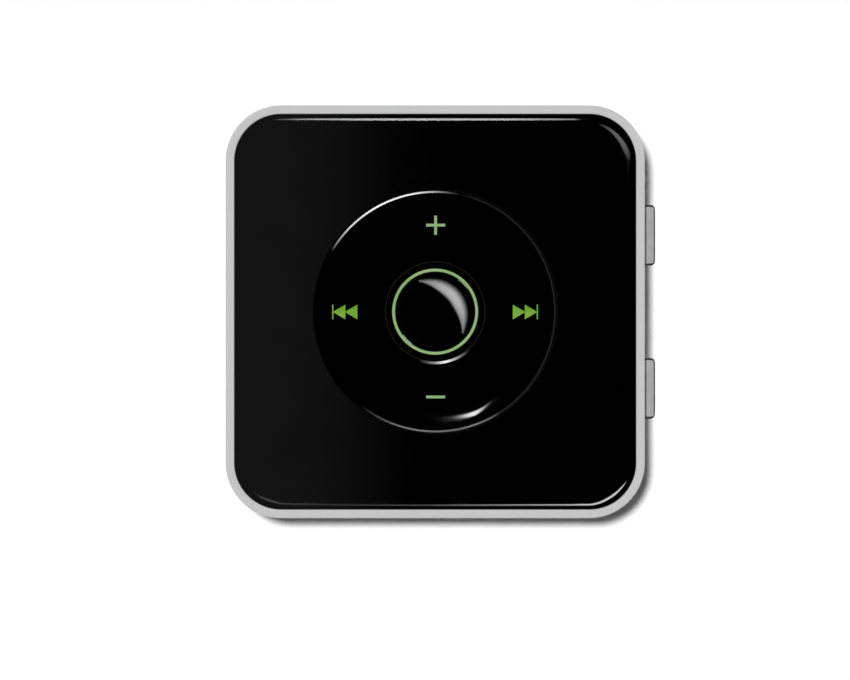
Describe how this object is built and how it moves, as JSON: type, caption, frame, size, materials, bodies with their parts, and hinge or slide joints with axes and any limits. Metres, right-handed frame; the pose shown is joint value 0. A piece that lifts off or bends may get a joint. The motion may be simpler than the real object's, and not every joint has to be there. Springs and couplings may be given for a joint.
{
  "type": "digital audio player",
  "caption": "Square pocket digital audio player without a screen: gloss black face, tilting four-way control ring with green marks, lit ring, domed centre button and side keys.",
  "frame": {"origin": "centre of the flat back, in the back's own plane", "axes": "+Z out of the front face, +Y towards the plus mark and the headphone jack, +X towards the side keys; the player lies on its back"},
  "size_m": [0.041, 0.0394, 0.0097],
  "materials": {
    "silver_shell": "satin silver-grey paint on moulded plastic",
    "gloss_black": "piano-black high gloss with fine handling marks",
    "green_light": "clear green light guide, lit",
    "key_grey": "satin grey",
    "black_plastic": "fine moulded texture",
    "board_green": "solder mask over laminate",
    "chip_black": "moulded epoxy",
    "steel": "plated spring steel",
    "gold": "gold plated contact",
    "foil": "laminated foil pouch",
    "amber_film": "polyimide film",
    "foam": "closed-cell foam",
    "tape": "double-sided adhesive tape",
    "ceramic": "fired ceramic",
    "led_white": "clear lens over a white reflector",
    "red_wire": "insulated wire",
    "black_wire": "insulated wire"
  },
  "bodies": {
    "player_body": {"rear_cover": "silver_shell", "case_band": "silver_shell", "front_panel": "gloss_black", "front_panel_tape": "tape", "chassis": "black_plastic", "button_collar": "gloss_black", "light_ring": "green_light", "upper_switch_body": "steel", "lower_switch_body": "steel", "main_board": "board_green", "memory_chip": "chip_black", "processor_chip": "chip_black", "audio_chip": "chip_black", "crystal": "steel", "power_inductor": "chip_black", "filter_capacitor_1": "amber_film", "filter_capacitor_2": "amber_film", "bypass_capacitor": "ceramic", "dome_film": "amber_film", "battery_cell": "foil", "battery_protection_board": "board_green", "battery_foam_pad": "foam", "battery_insulator": "amber_film", "battery_lead_red": "red_wire", "battery_lead_black": "black_wire", "headphone_jack": "black_plastic", "jack_trim_ring": "steel", "usb_shell": "steel", "usb_tongue": "black_plastic", "usb_contacts": "gold", "ring_led_1": "led_white", "cover_screw_1": "steel", "ring_led_2": "led_white", "cover_screw_2": "steel", "ring_led_3": "led_white", "cover_screw_3": "steel", "ring_led_4": "led_white", "cover_screw_4": "steel", "board_screw_1": "steel", "board_screw_2": "steel", "jack_contact_1": "gold", "jack_contact_2": "gold", "jack_contact_3": "gold", "centre_snap_dome": "steel", "next_snap_dome": "steel", "plus_snap_dome": "steel", "previous_snap_dome": "steel", "minus_snap_dome": "steel"},
    "gimbal": {"gimbal_ring": "steel"},
    "control_ring": {"control_ring": "gloss_black", "plus_mark": "green_light", "minus_mark": "green_light", "next_mark": "green_light", "previous_mark": "green_light"},
    "centre_button": {"centre_button": "gloss_black"},
    "upper_side_key": {"upper_side_key": "key_grey", "upper_switch_plunger": "black_plastic"},
    "lower_side_key": {"lower_side_key": "key_grey", "lower_switch_plunger": "black_plastic"}
  },
  "joints": [
    {"name": "ring_tilt_plus_minus", "type": "hinge", "parent": "player_body", "child": "gimbal", "pos_m": [0, 0, 0.0073], "axis": [1, 0, 0], "range_deg": [-1.25, 1.25], "deforming": ["plus_snap_dome", "minus_snap_dome"]},
    {"name": "ring_tilt_skip", "type": "hinge", "parent": "gimbal", "child": "control_ring", "pos_m": [0, 0, 0.0073], "axis": [0, 1, 0], "range_deg": [-1.25, 1.25], "deforming": ["next_snap_dome", "previous_snap_dome"]},
    {"name": "centre_button_press", "type": "slide", "parent": "player_body", "child": "centre_button", "axis": [0, 0, -1], "range_m": [0, 0.00025], "deforming": ["centre_snap_dome"]},
    {"name": "upper_side_key_press", "type": "slide", "parent": "player_body", "child": "upper_side_key", "axis": [-1, 0, 0], "range_m": [0, 0.00035]},
    {"name": "lower_side_key_press", "type": "slide", "parent": "player_body", "child": "lower_side_key", "axis": [-1, 0, 0], "range_m": [0, 0.00035]}
  ]
}
